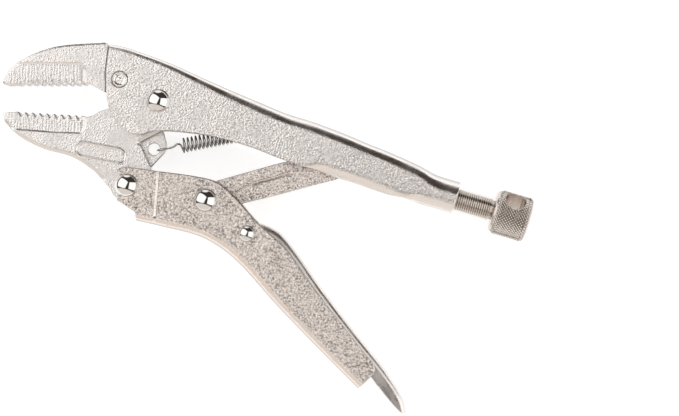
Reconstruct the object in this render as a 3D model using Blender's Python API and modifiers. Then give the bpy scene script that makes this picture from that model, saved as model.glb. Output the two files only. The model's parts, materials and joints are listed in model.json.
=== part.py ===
"""Locking pliers, built as an assembly of separate pieces. Blender 4.5, metres, +Z up.

The tool lies on its side. X runs from the jaws to the adjusting screw, Y across the handles, and Z
through the thickness. The origin is on the jaw pivot's axis, on the surface that the tool lies on.
Outlines are given in millimetres in the plane of the tool and turned into metres by the helpers.
"""

import math

import bmesh
import bpy
from mathutils import Vector

MM = 0.001

# driving dimensions, in millimetres
MID = 9.0  # height of the tool's middle plane above the surface it lies on
GAP = 0.3  # clearance between neighbouring faces
FIT = 0.12  # radial clearance of a rivet in its hole
UPPER_HALF, UPPER_SHEET = 6.4, 1.8  # upper handle: outer half width, sheet thickness
EAR_HALF, LOWER_HALF, LOWER_SHEET = 6.3, 7.0, 1.7  # lower handle: ears, main channel, sheet
LEVER_SHEET = 1.4
UPPER_NOSE_HALF, JAW_HALF, LUG_HALF = 5.0, 4.3, 1.2
BAND_DEPTH = 0.4  # how far the serrated flanks stand back from the jaws' sides
LINK_HALF = 2.2
TOOTH_DEPTH, TOOTH_COUNT = 1.4, 9

# pivots, in the plane of the tool
JAW_PIVOT = Vector((0.0, 0.0))
HANDLE_PIVOT = Vector((-10.7, -28.7))
LINK_PIVOT = Vector((16.1, -33.8))
LEVER_PIVOT = Vector((30.2, -45.2))
LINK_END = Vector((64.3, -22.35))
JAW_FIXING = Vector((-13.0, 7.3))
FIXING_R = 2.7

# adjusting screw: its axis runs through the link's end
SCREW_ANGLE = -16.6
SCREW_AXIS = Vector((math.cos(math.radians(SCREW_ANGLE)), math.sin(math.radians(SCREW_ANGLE))))
SCREW_UP = Vector((-SCREW_AXIS.y, SCREW_AXIS.x))
THREAD_R, BORE_R, TIP_R, KNOB_R = 3.9, 4.2, 2.6, 7.75
# distances along that axis from the link's end
TIP_START, TIP_END, BOSS_END, KNOB_START, KNOB_END = 4.2, 9.0, 39.0, 52.2, 65.0

# tension spring
WIRE_R, COIL_R, HOOK_R, COIL_TURNS = 0.36, 2.3, 2.1, 18
LUG_HOOK = Vector((1.55, -16.4))
TAB_HOOK = Vector((36.5, -9.8))

MAIN_RIVET = {"head_r": 4.0, "dome": 2.3, "shank_r": 2.5}
LEVER_RIVET = {"head_r": 2.9, "dome": 1.8, "shank_r": 1.9}


def clear_scene():
    for obj in list(bpy.data.objects):
        bpy.data.objects.remove(obj, do_unlink=True)


def new_collection(name):
    collection = bpy.data.collections.new(name)
    bpy.context.scene.collection.children.link(collection)
    return collection


clear_scene()
PARTS = new_collection("locking_pliers")
CUTTERS = new_collection("cutters")


def steel(name, colour, roughness):
    material = bpy.data.materials.new(name)
    material.use_nodes = True
    shader = material.node_tree.nodes["Principled BSDF"]
    shader.inputs["Base Color"].default_value = (*colour, 1.0)
    shader.inputs["Roughness"].default_value = roughness
    shader.inputs["Metallic"].default_value = 1.0
    material.diffuse_color = (*colour, 1.0)
    return material


# outlines


def arc(centre, radius, start, end, steps=12):
    """Points on an arc about centre, from one angle to another, in degrees."""
    angles = [math.radians(start + (end - start) * i / steps) for i in range(steps + 1)]
    return [Vector((centre[0] + radius * math.cos(a), centre[1] + radius * math.sin(a))) for a in angles]


def smooth(points, steps=4):
    """A smooth curve through the points, whose first two coordinates are x and y."""

    def gap(one, two):
        return Vector((two - one)[0:2]).length

    def slope(i):
        before, after = max(i - 1, 0), min(i + 1, len(points) - 1)
        across = gap(points[before], points[i]) + gap(points[i], points[after])
        return (points[after] - points[before]) / across

    curve = []
    for i in range(len(points) - 1):
        start, end = points[i], points[i + 1]
        span = gap(start, end)
        for t in [step / steps for step in range(steps)]:
            curve.append(
                start * (2 * t**3 - 3 * t**2 + 1)
                + end * (3 * t**2 - 2 * t**3)
                + slope(i) * (span * (t**3 - 2 * t**2 + t))
                + slope(i + 1) * (span * (t**3 - t**2))
            )
    return [*curve, points[-1]]


def curve_through(*pairs, steps=4):
    return smooth([Vector(pair) for pair in pairs], steps)


def teeth(start, end, side, steps=4):
    """Round-topped teeth from start to end, with sharp valleys cut inward on one side of the line."""
    start, end = Vector(start), Vector(end)
    along = (end - start) / TOOTH_COUNT
    inward = Vector((-along.y, along.x)).normalized() * TOOTH_DEPTH * side
    points = []
    for i in range(TOOTH_COUNT * steps + 1):
        place = i / steps
        from_tip = abs(place - round(place))
        points.append(start + along * place + inward * (2 * from_tip) ** 1.6)
    return points


# solids


def link_object(name, mesh, origin=JAW_PIVOT, collection=PARTS):
    obj = bpy.data.objects.new(name, mesh)
    obj.location = (origin[0] * MM, origin[1] * MM, MID * MM)
    collection.objects.link(obj)
    return obj


def as_cutter(obj):
    obj.hide_render = True
    obj.display_type = "WIRE"
    return obj


def plate(name, outline, half, origin=JAW_PIVOT, collection=PARTS):
    """A flat outline, extruded to both sides of the middle plane, as a closed mesh."""
    curve = bpy.data.curves.new(name, "CURVE")
    curve.dimensions = "2D"
    curve.fill_mode = "BOTH"
    curve.extrude = half * MM
    spline = curve.splines.new("POLY")
    spline.points.add(len(outline) - 1)
    for point, (x, y) in zip(spline.points, outline):
        point.co = ((x - origin[0]) * MM, (y - origin[1]) * MM, 0.0, 1.0)
    spline.use_cyclic_u = True
    return curve_to_mesh(link_object(name, curve, origin, collection), collection)


def curve_to_mesh(curve_object, collection=PARTS):
    """The evaluated curve as a mesh object with its caps welded on."""
    name = curve_object.name
    evaluated = curve_object.evaluated_get(bpy.context.evaluated_depsgraph_get())
    mesh = bpy.data.meshes.new_from_object(evaluated)
    matrix = curve_object.matrix_world.copy()
    bpy.data.objects.remove(curve_object, do_unlink=True)
    shape = bmesh.new()
    shape.from_mesh(mesh)
    bmesh.ops.remove_doubles(shape, verts=shape.verts, dist=1e-6)
    bmesh.ops.recalc_face_normals(shape, faces=shape.faces)
    shape.to_mesh(mesh)
    shape.free()
    mesh.name = name
    obj = bpy.data.objects.new(name, mesh)
    obj.matrix_world = matrix
    collection.objects.link(obj)
    return obj


def combine(target, tool, operation):
    modifier = target.modifiers.new(tool.name, "BOOLEAN")
    modifier.operation = operation
    modifier.object = tool
    return target


def hole(target, centre, radius):
    """A round hole right through the thickness."""
    bpy.ops.mesh.primitive_cylinder_add(vertices=48, radius=radius * MM, depth=40 * MM)
    cutter = bpy.context.object
    cutter.name = f"{target.name}_hole_{len(target.modifiers)}"
    cutter.location = (centre[0] * MM, centre[1] * MM, MID * MM)
    for collection in list(cutter.users_collection):
        collection.objects.unlink(cutter)
    CUTTERS.objects.link(cutter)
    return combine(target, as_cutter(cutter), "DIFFERENCE")


def trim(target, outline):
    """Keep only what lies inside a side outline."""
    cutter = plate(f"{target.name}_outline", outline, 14.0, collection=CUTTERS)
    return combine(target, as_cutter(cutter), "INTERSECT")


def turned(name, profile, origin, steps=48):
    """A solid of revolution about its local Z. The profile runs from the top down its outer side."""
    mesh = bpy.data.meshes.new(name)
    points = [(radius * MM, 0.0, height * MM) for radius, height in profile]
    mesh.from_pydata(points, [(i, i + 1) for i in range(len(points) - 1)], [])
    obj = link_object(name, mesh, origin)
    screw = obj.modifiers.new("turn", "SCREW")
    screw.axis = "Z"
    screw.steps = steps
    screw.render_steps = steps
    screw.use_merge_vertices = True
    screw.merge_threshold = 0.00001
    return obj


# pressed channels


def section(height, half_width, crown_r, lip_r, lip_angle, inset):
    """One half of a channel's section, as (across, up) points from its lip to the crown's middle.

    The wall's foot turns inward by lip_angle on a radius of lip_r. The crown's corner has a radius of
    crown_r. inset is zero on the outer face and the sheet's thickness on the inner face.
    """
    foot = lip_r * math.sin(math.radians(lip_angle))
    low = arc((half_width - lip_r, foot), lip_r - inset, -lip_angle, 0.0, 4)
    top = arc((half_width - crown_r, height - crown_r), crown_r - inset, 0.0, 90.0, 5)
    return low + top


def channel(name, stations, sheet, origin):
    """A pressed channel, lofted through stations of
    (crown x, crown y, mouth x, mouth y, outer half width, crown radius, lip radius, lip angle)."""
    shape = bmesh.new()
    rings = []
    for station in smooth([Vector(s) for s in stations], 3):
        crown, mouth = Vector(station[0:2]), Vector(station[2:4])
        up = (crown - mouth).normalized()
        ring = []
        for inset in (0.0, sheet):
            half = section((crown - mouth).length, *station[4:8], inset)
            whole = half + [Vector((-across, height)) for across, height in reversed(half)]
            if inset:
                whole.reverse()
            for across, height in whole:
                x, y = mouth + up * height - Vector(origin)
                ring.append(shape.verts.new((x * MM, y * MM, across * MM)))
        rings.append(ring)
    count = len(rings[0])
    for one, two in zip(rings, rings[1:]):
        for i in range(count):
            j = (i + 1) % count
            shape.faces.new((one[i], one[j], two[j], two[i]))
    for ring in (rings[0], rings[-1]):
        for i in range(count // 2 - 1):
            shape.faces.new((ring[i], ring[i + 1], ring[count - 2 - i], ring[count - 1 - i]))
    bmesh.ops.recalc_face_normals(shape, faces=shape.faces)
    mesh = bpy.data.meshes.new(name)
    shape.to_mesh(mesh)
    shape.free()
    return link_object(name, mesh, origin)


def along_screw(distance, offset):
    """A point at a distance along the screw's axis from the link's end, and an offset above it."""
    return LINK_END + SCREW_AXIS * distance + SCREW_UP * offset


def upper_handle():
    """Fixed handle: a channel whose rear end closes into the boss that holds the screw."""
    boss_r = BORE_R + UPPER_SHEET
    lip = 60.0
    lap = -boss_r * math.sin(math.radians(lip))
    front = [
        (-22.0, 20.0, -24.0, -15.0, UPPER_HALF, 2.2, 4.0, 2.0),
        (-12.8, 18.7, -13.0, -15.5, UPPER_HALF, 2.2, 4.0, 2.0),
        (-4.8, 16.2, -6.0, -11.7, UPPER_HALF, 2.3, 4.0, 2.0),
        (4.8, 12.6, 1.1, -10.3, UPPER_HALF, 2.6, 4.0, 2.0),
        (15.0, 8.0, 9.8, -10.8, UPPER_HALF, 3.2, 4.0, 2.0),
        (26.0, 3.2, 20.0, -12.5, UPPER_HALF, 4.0, 4.0, 2.0),
        (36.0, -1.0, 31.0, -15.6, UPPER_HALF, 4.4, 4.0, 2.0),
    ]
    rear = [
        (-24.5, 11.5, -3.8, UPPER_HALF, 4.5, 4.0, 2.0),
        (-15.6, 11.4, -4.3, UPPER_HALF, 4.6, 4.5, 10.0),
        (-9.3, 11.0, -4.2, UPPER_HALF, 4.6, 5.0, 45.0),
        (-3.0, 10.5, -4.7, UPPER_HALF, 4.6, 5.0, 60.0),
        (5.0, 9.6, -4.9, 6.3, 4.6, 5.0, 62.0),
        (11.0, 9.1, -5.2, 6.2, 4.6, 5.0, 58.0),
        (17.0, 8.4, -5.3, 6.1, 4.6, 5.0, 46.0),
        (22.0, 7.7, -4.8, 6.05, 4.7, 5.0, 36.0),
        (26.0, 7.0, -5.2, 5.95, 4.9, 5.2, 62.0),
        (29.5, 6.2, -5.3, 5.9, 5.6, 5.6, 62.0),
        (32.5, boss_r, lap, boss_r, boss_r, boss_r, lip),
        (BOSS_END, boss_r, lap, boss_r, boss_r, boss_r, lip),
    ]
    stations = front + [
        (*along_screw(at, top), *along_screw(at, bottom), *shape) for at, top, bottom, *shape in rear
    ]
    handle = channel("upper_handle", stations, UPPER_SHEET, JAW_PIVOT)
    head = [Vector((-16.4, 21.0)), Vector((-16.6, 18.0))]
    head += curve_through((-17.6, 10.0), (-17.5, 2.0), (-15.8, -4.6), (-10.6, -10.4), (-5.9, -11.85))
    head += [Vector((-3.0, -20.0)), Vector((120.0, -70.0)), Vector((120.0, 30.0)), Vector((-16.4, 30.0))]
    trim(handle, head)
    combine(handle, as_cutter(spring_tab()), "UNION")
    hole(handle, JAW_PIVOT, MAIN_RIVET["shank_r"] + FIT)
    hole(handle, JAW_FIXING, FIXING_R + FIT)
    return handle


def spring_tab():
    """The tab under the crown that the spring's rear hook holds on to."""
    tab = [Vector((36.1, -2.2)), Vector((41.2, -4.3)), *arc((38.6, -10.1), 2.9, 10.0, -190.0)]
    obj = plate("spring_tab", tab, 0.8, collection=CUTTERS)
    return hole(obj, TAB_HOOK + Vector((2.3, -0.1)), 1.4)


def upper_jaw():
    """Fixed jaw: a serrated nose outside the channel and a tang inside it."""
    top = curve_through(
        (-53.1, 6.3), (-51.0, 10.6), (-47.1, 13.7), (-41.0, 16.7), (-33.0, 18.9), (-17.9, 20.0)
    )
    back = [Vector((-17.0, 19.4)), Vector((-17.1, 18.0)), Vector((-18.1, 10.0)), Vector((-18.0, 2.9))]
    back += [Vector((-23.0, 5.6)), Vector((-24.3, 6.3))]
    nose = top + back + list(reversed(teeth((-46.9, 5.1), (-25.0, 5.1), 1))) + [Vector((-51.3, 5.1))]
    jaw = plate("upper_jaw", nose, UPPER_NOSE_HALF)
    tang = curve_through((-19.0, 17.0), (-12.8, 16.2), (-4.8, 13.7), (2.2, 11.0))
    tang += arc(JAW_PIVOT, 8.9, 68.0, 166.0) + [Vector((-17.0, 2.8)), Vector((-19.0, 3.6))]
    combine(jaw, as_cutter(plate("jaw_tang", tang, JAW_HALF, collection=CUTTERS)), "UNION")
    band = [Vector((-56.0, 13.0)), Vector((-27.6, 13.0)), *arc((-27.6, 9.6), 3.4, 80.0, 0.0, 6)]
    band += [Vector((-24.6, 2.0)), Vector((-56.0, 2.0))]
    cut_flanks(jaw, band, UPPER_NOSE_HALF)
    hole(jaw, JAW_FIXING, FIXING_R + FIT)
    return jaw


def cut_flanks(jaw, outline, half):
    """Set the serrated flanks back from both sides of a jaw."""
    for side in (-1, 1):
        cutter = plate(f"{jaw.name}_flank_{side + 1}", outline, 2.0, collection=CUTTERS)
        cutter.location.z += side * (half - BAND_DEPTH + 2.0) * MM
        combine(jaw, as_cutter(cutter), "DIFFERENCE")


def lower_jaw():
    """Moving jaw: serrated nose, hub in the upper handle, foot between the lower handle's ears."""
    inner = teeth((-47.8, -3.6), (-25.7, -4.9), -1)
    inner += [Vector((-24.6, -5.6)), Vector((-22.0, -4.8)), Vector((-19.8, -3.4)), Vector((-11.0, -0.8))]
    hub = arc(JAW_PIVOT, 8.2, 172.0, -52.0, 28)
    back = [Vector((1.2, -10.2)), Vector((-6.5, -14.2)), Vector((-2.4, -23.4))]
    foot = arc(HANDLE_PIVOT, 5.7, 12.0, -164.0, 20)
    outer = curve_through(
        (-19.3, -26.7), (-22.4, -23.6), (-29.3, -19.2), (-39.3, -16.3), (-47.1, -12.3), (-52.2, -7.4),
        (-53.1, -3.9),
    )
    jaw = plate("lower_jaw", inner + hub + back + foot + outer, JAW_HALF)
    lug = [Vector((0.6, -9.0)), Vector((1.8, -11.0)), *arc((-1.4, -15.2), 4.2, 28.0, -48.0)]
    lug += [Vector((-2.6, -22.6)), Vector((-5.5, -22.0)), Vector((-9.0, -14.0))]
    combine(jaw, as_cutter(plate("spring_lug", lug, LUG_HALF, collection=CUTTERS)), "UNION")
    band = [Vector((-56.0, -9.7)), Vector((-49.9, -9.8)), Vector((-28.4, -10.9))]
    band += arc((-28.2, -7.7), 3.4, -75.0, -8.0, 6)
    band += [Vector((-24.1, -2.0)), Vector((-56.0, -2.0))]
    cut_flanks(jaw, band, JAW_HALF)
    hole(jaw, JAW_PIVOT, MAIN_RIVET["shank_r"] + FIT)
    hole(jaw, HANDLE_PIVOT, MAIN_RIVET["shank_r"] + FIT)
    hole(jaw, (-1.6, -16.4), 2.0)
    return jaw


def lower_handle():
    """Moving handle: front ears over the jaw's foot, then a wider channel that is crowned below."""
    stations = [
        (-14.0, -39.4, -14.0, -19.0, EAR_HALF, 3.2, 4.0, 2.0),
        (-2.4, -42.0, -0.6, -20.0, EAR_HALF, 3.2, 4.0, 2.0),
        (-1.9, -42.1, -0.1, -20.0, EAR_HALF, 3.2, 4.0, 2.0),
        (-0.7, -42.4, 0.9, -20.2, LOWER_HALF, 3.4, 4.0, 2.0),
        (-0.2, -42.5, 1.4, -20.3, LOWER_HALF, 3.4, 4.0, 2.0),
        (15.0, -46.6, 21.0, -23.0, LOWER_HALF, 3.6, 4.0, 2.0),
        (26.0, -54.0, 38.0, -37.0, LOWER_HALF, 3.6, 4.0, 2.0),
        (40.0, -69.4, 54.0, -54.0, 6.8, 3.6, 4.0, 2.0),
        (54.0, -84.0, 67.5, -70.5, 6.5, 3.5, 4.0, 2.0),
        (66.5, -96.6, 80.0, -85.0, 6.2, 3.4, 4.0, 2.0),
        (74.0, -104.0, 86.0, -92.0, 6.2, 3.4, 4.0, 2.0),
    ]
    handle = channel("lower_handle", stations, LOWER_SHEET, HANDLE_PIVOT)
    ear = arc(HANDLE_PIVOT, 6.25, 250.0, 86.0, 20)
    edge = curve_through(
        (0.0, -23.9), (12.5, -25.6), (19.6, -27.4), (25.6, -32.0), (33.0, -40.4), (37.5, -44.6)
    )
    edge += curve_through((43.4, -50.0), (54.6, -65.6), (66.0, -80.3), (73.4, -89.6))
    end = [Vector((74.0, -91.4)), Vector((73.4, -93.0)), Vector((66.5, -100.0)), Vector((60.0, -110.0))]
    below = [Vector((-6.8, -70.0)), Vector((-7.8, -38.0))]
    trim(handle, ear + edge + end + below)
    hole(handle, HANDLE_PIVOT, MAIN_RIVET["shank_r"] + FIT)
    hole(handle, LINK_PIVOT, MAIN_RIVET["shank_r"] + FIT)
    hole(handle, LEVER_PIVOT, LEVER_RIVET["shank_r"] + FIT)
    return handle


def toggle_link():
    """Stamped bar between the lower handle and the tip of the screw."""
    upper = curve_through((19.7, -27.2), (31.1, -24.0), (43.0, -20.8), (54.0, -18.9), (64.0, -18.8))
    lower = curve_through((60.2, -27.0), (52.5, -28.9), (41.1, -32.0), (28.7, -35.0), (22.0, -37.0))
    outline = upper + arc(LINK_END, 3.2, 75.0, -100.0) + lower + arc(LINK_PIVOT, 5.5, -40.0, -245.0, 20)
    link = plate("toggle_link", outline, LINK_HALF, LINK_PIVOT)
    return hole(link, LINK_PIVOT, MAIN_RIVET["shank_r"] + FIT)


def release_lever():
    """Pressed lever in the lower handle's mouth; its tail stands out of the handle's end."""
    stations = [
        (22.0, -42.5, 25.0, -53.0, 5.0, 2.4, 4.0, 2.0),
        (30.2, -41.2, 30.5, -54.0, 5.0, 2.4, 4.0, 2.0),
        (36.5, -42.3, 33.5, -54.0, 5.0, 2.4, 4.0, 2.0),
        (42.8, -46.2, 36.0, -55.0, 5.0, 2.4, 4.0, 2.0),
        (55.9, -64.2, 47.5, -71.0, 4.8, 2.4, 4.0, 2.0),
        (67.0, -78.8, 59.0, -85.0, 4.5, 2.4, 4.0, 2.0),
        (76.0, -89.9, 68.5, -96.0, 4.2, 2.4, 4.0, 2.0),
        (81.0, -96.9, 73.5, -102.5, 4.1, 2.3, 4.0, 2.0),
        (83.8, -102.0, 76.0, -106.0, 4.0, 2.2, 4.0, 2.0),
        (84.9, -107.0, 77.5, -110.0, 3.9, 2.1, 4.0, 2.0),
    ]
    lever = channel("release_lever", stations, LEVER_SHEET, LEVER_PIVOT)
    nose = arc(LEVER_PIVOT, 4.7, 250.0, 120.0)
    tip = [Vector((26.0, -36.0)), Vector((100.0, -60.0)), Vector((100.0, -106.2)), Vector((84.0, -106.8))]
    foot = curve_through(
        (82.4, -106.2), (79.4, -103.0), (75.6, -98.4), (70.4, -91.4), (61.5, -79.8), (51.0, -66.6),
        (40.0, -54.6),
    )
    trim(lever, nose + tip + foot)
    return hole(lever, LEVER_PIVOT, LEVER_RIVET["shank_r"] + FIT)


# rivets, screw and spring


def dome(head_r, height, base, steps=6):
    """Profile of a domed head, from its top down to its rim."""
    sphere_r = (head_r**2 + height**2) / (2 * height)
    spread = math.asin(head_r / sphere_r)
    centre = base + height - sphere_r
    angles = [spread * i / steps for i in range(steps + 1)]
    return [(sphere_r * math.sin(a), centre + sphere_r * math.cos(a)) for a in angles]


def pivot_rivet(name, centre, half_width, spec):
    """A rivet with a domed head in front and a flat upset head that reaches the resting plane."""
    face = half_width + 0.05
    head_r, shank_r = spec["head_r"], spec["shank_r"]
    profile = dome(head_r, spec["dome"], face + 0.2)
    profile += [(head_r, face), (shank_r, face), (shank_r, -face), (head_r, -face)]
    profile += [(head_r, -MID + 0.5), (head_r - 0.5, -MID), (0.0, -MID)]
    return turned(name, profile, centre)


def jaw_fixing_rivet():
    """Flush rivet with a shallow dimple in each end."""
    rim, dimple = 2.15, 0.35
    front = [(0.0, UPPER_HALF - dimple), (rim - 0.5, UPPER_HALF - dimple), (rim, UPPER_HALF)]
    front += [(FIXING_R, UPPER_HALF)]
    back = [(radius, -height) for radius, height in reversed(front)]
    return turned("upper_jaw_fixing_rivet", front + back, JAW_FIXING)


def screw_part(name, profile, start):
    """A turned piece whose local Z lies along the screw's axis."""
    obj = turned(name, profile, along_screw(start, 0.0))
    obj.rotation_euler = (0.0, math.radians(90.0), math.radians(SCREW_ANGLE))
    return obj


def screw_tip():
    length = TIP_END - TIP_START
    chamfer = 0.9
    profile = [(0, length), (TIP_R, length), (TIP_R, chamfer), (TIP_R - chamfer, 0.0), (0, 0.0)]
    return screw_part("screw_tip", profile, TIP_START)


def adjusting_screw():
    """Threaded rod with a knob. The thread's turns, the knurl and the bar hole are not cut here."""
    start = TIP_END + GAP
    neck, end = KNOB_START - start, KNOB_END - start
    recess_r, recess_depth = 3.2, 0.6
    knob = [(0, end - recess_depth), (recess_r - 0.8, end - recess_depth), (recess_r, end)]
    knob += [(KNOB_R - 2.2, end), (KNOB_R - 0.6, end - 0.7), (KNOB_R, end - 1.8)]
    knob += [(KNOB_R, neck + 2.0), (KNOB_R - 0.9, neck)]
    neck_r = THREAD_R - 0.4
    rod = [(neck_r, neck), (neck_r, neck - 0.8), (THREAD_R, neck - 1.2), (THREAD_R, 0.8)]
    rod += [(THREAD_R - 0.8, 0.0)]
    return screw_part("adjusting_screw", knob + rod + [(0, 0.0)], start)


def hook(centre, first, turn=300.0, steps=12):
    """An open loop of wire about a place on the spring's axis, as (along, across, up) points."""
    angles = [math.radians(first + turn * i / steps) for i in range(steps + 1)]
    return [Vector((centre + HOOK_R * math.cos(a), 0.0, HOOK_R * math.sin(a))) for a in angles]


def spring_points(per_turn=10):
    """The wire's path: a hook about the jaw's lug, an arched lead, the coil, and a hook in the tab."""
    length = (TAB_HOOK - LUG_HOOK).length
    coil_start, coil_end = 6.7, length - 4.0
    first = math.radians(200.0)
    sweep = 2 * math.pi * COIL_TURNS - math.radians(20.0)
    steps = COIL_TURNS * per_turn
    coil = []
    for i in range(steps + 1):
        angle = first + sweep * i / steps
        along = coil_start + (coil_end - coil_start) * i / steps
        coil.append(Vector((along, COIL_R * math.cos(angle), COIL_R * math.sin(angle))))
    front, rear = hook(0.0, 60.0), hook(length, 180.0)
    arch = [Vector((3.6, 0.25, 0.0)), Vector((4.9, 0.85, 0.0)), Vector((5.9, 0.5, -0.1))]
    arch += [Vector((6.4, -0.9, -0.5))]
    lead = smooth([front[-1], *arch, coil[0]], 3)[1:-1]
    tail = smooth([coil[-1], Vector((coil_end + 0.9, -0.9, 0.3)), rear[0]], 3)[1:-1]
    return [*front, *lead, *coil, *tail, *rear]


def tension_spring():
    """Coil spring that opens the jaw, as one wire."""
    axis = (TAB_HOOK - LUG_HOOK).normalized()
    side = Vector((-axis.y, axis.x))
    curve = bpy.data.curves.new("tension_spring", "CURVE")
    curve.dimensions = "3D"
    curve.bevel_depth = WIRE_R * MM
    curve.bevel_resolution = 1
    curve.use_fill_caps = True
    points = spring_points()
    spline = curve.splines.new("POLY")
    spline.points.add(len(points) - 1)
    for point, (along, across, up) in zip(spline.points, points):
        x, y = LUG_HOOK + axis * along + side * across
        point.co = (x * MM, y * MM, up * MM, 1.0)
    return link_object("tension_spring", curve)


# assembly


def attach(child, parent):
    """Parent a piece and keep it where it is."""
    bpy.context.view_layer.update()
    child.parent = parent
    child.matrix_parent_inverse = parent.matrix_world.inverted()


def main():
    satin, forged, bright = (0.74, 0.73, 0.71), (0.76, 0.75, 0.73), (0.86, 0.85, 0.83)
    pieces = {
        "upper_handle": (upper_handle(), satin, 0.38),
        "upper_jaw": (upper_jaw(), forged, 0.36),
        "upper_jaw_fixing_rivet": (jaw_fixing_rivet(), satin, 0.34),
        "jaw_pivot_rivet": (pivot_rivet("jaw_pivot_rivet", JAW_PIVOT, UPPER_HALF, MAIN_RIVET), bright, 0.08),
        "lower_jaw": (lower_jaw(), forged, 0.36),
        "tension_spring": (tension_spring(), (0.6, 0.6, 0.6), 0.2),
        "handle_pivot_rivet": (
            pivot_rivet("handle_pivot_rivet", HANDLE_PIVOT, EAR_HALF, MAIN_RIVET),
            bright,
            0.08,
        ),
        "lower_handle": (lower_handle(), (0.68, 0.67, 0.65), 0.42),
        "link_pivot_rivet": (
            pivot_rivet("link_pivot_rivet", LINK_PIVOT, LOWER_HALF, MAIN_RIVET),
            bright,
            0.08,
        ),
        "toggle_link": (toggle_link(), (0.66, 0.65, 0.63), 0.45),
        "lever_pivot_rivet": (
            pivot_rivet("lever_pivot_rivet", LEVER_PIVOT, LOWER_HALF, LEVER_RIVET),
            bright,
            0.08,
        ),
        "release_lever": (release_lever(), (0.7, 0.7, 0.69), 0.34),
        "screw_tip": (screw_tip(), (0.62, 0.61, 0.6), 0.3),
        "adjusting_screw": (adjusting_screw(), (0.68, 0.67, 0.66), 0.3),
    }
    for name, (obj, colour, roughness) in pieces.items():
        obj.data.materials.clear()
        obj.data.materials.append(steel(name, colour, roughness))
    objects = {name: piece[0] for name, piece in pieces.items()}
    parents = {
        "upper_jaw": "upper_handle",
        "upper_jaw_fixing_rivet": "upper_handle",
        "jaw_pivot_rivet": "upper_handle",
        "tension_spring": "upper_handle",
        "lower_jaw": "upper_handle",
        "lower_handle": "lower_jaw",
        "handle_pivot_rivet": "lower_handle",
        "link_pivot_rivet": "lower_handle",
        "lever_pivot_rivet": "lower_handle",
        "toggle_link": "lower_handle",
        "release_lever": "lower_handle",
        "screw_tip": "upper_handle",
        "adjusting_screw": "screw_tip",
    }
    for child, parent in parents.items():
        attach(objects[child], objects[parent])


main()
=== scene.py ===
"""Locking pliers: the visual model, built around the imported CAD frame.

Outlines are in millimetres in the plane of the tool, measured from the jaw pivot, and the meshes are
in metres. Each CAD node is replaced by a finer piece of the same shape.
"""

import json
import math

import bmesh
import bpy
import numpy as np
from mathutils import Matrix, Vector


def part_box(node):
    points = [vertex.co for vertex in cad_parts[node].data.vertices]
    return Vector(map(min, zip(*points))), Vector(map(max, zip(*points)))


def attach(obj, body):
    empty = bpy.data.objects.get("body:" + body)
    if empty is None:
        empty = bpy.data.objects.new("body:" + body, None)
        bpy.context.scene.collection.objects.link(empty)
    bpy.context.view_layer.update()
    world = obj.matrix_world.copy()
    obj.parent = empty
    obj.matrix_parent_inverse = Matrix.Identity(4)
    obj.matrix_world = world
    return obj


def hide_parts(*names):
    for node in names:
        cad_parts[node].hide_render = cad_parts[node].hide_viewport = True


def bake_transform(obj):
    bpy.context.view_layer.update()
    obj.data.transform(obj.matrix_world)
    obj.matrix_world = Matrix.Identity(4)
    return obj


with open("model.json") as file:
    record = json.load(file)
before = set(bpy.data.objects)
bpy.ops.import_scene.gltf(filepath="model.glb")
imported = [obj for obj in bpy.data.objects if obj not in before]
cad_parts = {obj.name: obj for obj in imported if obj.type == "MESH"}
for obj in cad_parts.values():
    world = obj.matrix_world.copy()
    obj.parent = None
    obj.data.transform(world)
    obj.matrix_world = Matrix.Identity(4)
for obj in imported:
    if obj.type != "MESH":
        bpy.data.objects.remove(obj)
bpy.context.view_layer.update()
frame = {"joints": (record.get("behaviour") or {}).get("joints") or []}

MM = 0.001


def joint(name):
    """A joint's place, in millimetres."""
    found = next(j for j in frame["joints"] if j["name"] == name)
    return Vector(found["pos_m"]) / MM


def node_top(name):
    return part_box(name)[1].z / MM


MID = joint("jaw_pivot").z
JAW_PIVOT = joint("jaw_pivot").xy
HANDLE_PIVOT = joint("handle_fold").xy
LINK_PIVOT = joint("link_pivot").xy
LEVER_PIVOT = joint("release_pivot").xy
LINK_END = Vector((64.3, -22.35))
JAW_FIXING = Vector((-13.0, 7.3))
SCREW_ANGLE = math.radians(-16.6)
SCREW_AXIS = Vector((math.cos(SCREW_ANGLE), math.sin(SCREW_ANGLE)))
SCREW_UP = Vector((-SCREW_AXIS.y, SCREW_AXIS.x))

# half widths, from the middle plane
UPPER_HALF = node_top("upper_handle") - MID
NOSE_HALF = node_top("upper_jaw") - MID
JAW_HALF = node_top("lower_jaw") - MID
LOWER_HALF = node_top("lower_handle") - MID
LINK_HALF = node_top("toggle_link") - MID
EAR_HALF = 6.3
LUG_HALF = 1.2
UPPER_SHEET, LOWER_SHEET, LEVER_SHEET = 1.8, 1.7, 1.4
BAND_DEPTH = 0.4

FIXING_R = 2.7
FIT = 0.12
THREAD_R, BORE_R, TIP_R, KNOB_R, THREAD_PITCH = 3.9, 4.2, 2.6, 7.75, 0.75
TIP_START, TIP_END, BOSS_END, KNOB_START, KNOB_END = 4.2, 9.0, 39.0, 52.2, 65.0
CROSS_HOLE_R, CROSS_HOLE_TILT = 3.6, math.radians(46.5)
TOOTH_DEPTH, TOOTH_COUNT = 1.4, 9
RIVET_R, RIVET_DOME, SHANK_R = 4.0, 2.3, 2.5
SMALL_RIVET_R, SMALL_DOME, SMALL_SHANK_R = 2.9, 1.8, 1.9
WIRE_R, COIL_R, HOOK_R, COIL_TURNS = 0.36, 2.3, 2.1, 18
LUG_HOOK = Vector((1.55, -16.4))
TAB_HOOK = Vector((36.5, -9.8))


# ---------------------------------------------------------------- outlines


def arc(centre, radius, start, end, steps=24):
    angles = [math.radians(start + (end - start) * i / steps) for i in range(steps + 1)]
    return [Vector((centre[0] + radius * math.cos(a), centre[1] + radius * math.sin(a))) for a in angles]


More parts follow.
